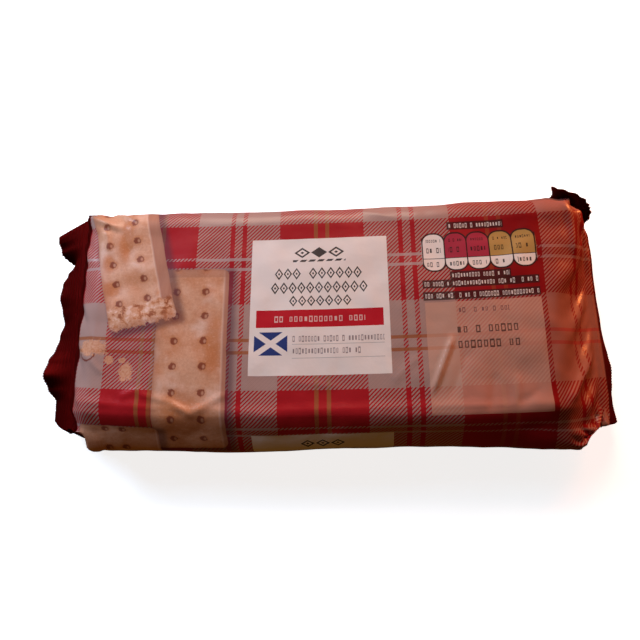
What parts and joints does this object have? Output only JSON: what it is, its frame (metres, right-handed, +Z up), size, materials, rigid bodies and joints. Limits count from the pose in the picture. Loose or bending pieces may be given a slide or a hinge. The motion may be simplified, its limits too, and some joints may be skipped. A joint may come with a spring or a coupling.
{
  "type": "wrapped biscuit pack",
  "caption": "Shut flow-wrapped film pack of shortbread fingers, pillow shaped, with a crimped toothed seal at each end and a long seam underneath.",
  "frame": {"origin": "bottom centre of the pack's box, on the face of the long seam that it lies on", "axes": "+X along the pack towards its right end seal, +Y towards its back long side, +Z up out of the label side"},
  "size_m": [0.2098, 0.0918, 0.0296],
  "materials": {
    "printed_film": "printed packing film, red and pale check, softly glossy and creased"
  },
  "bodies": {
    "root": {"pack": "printed_film"}
  },
  "joints": []
}
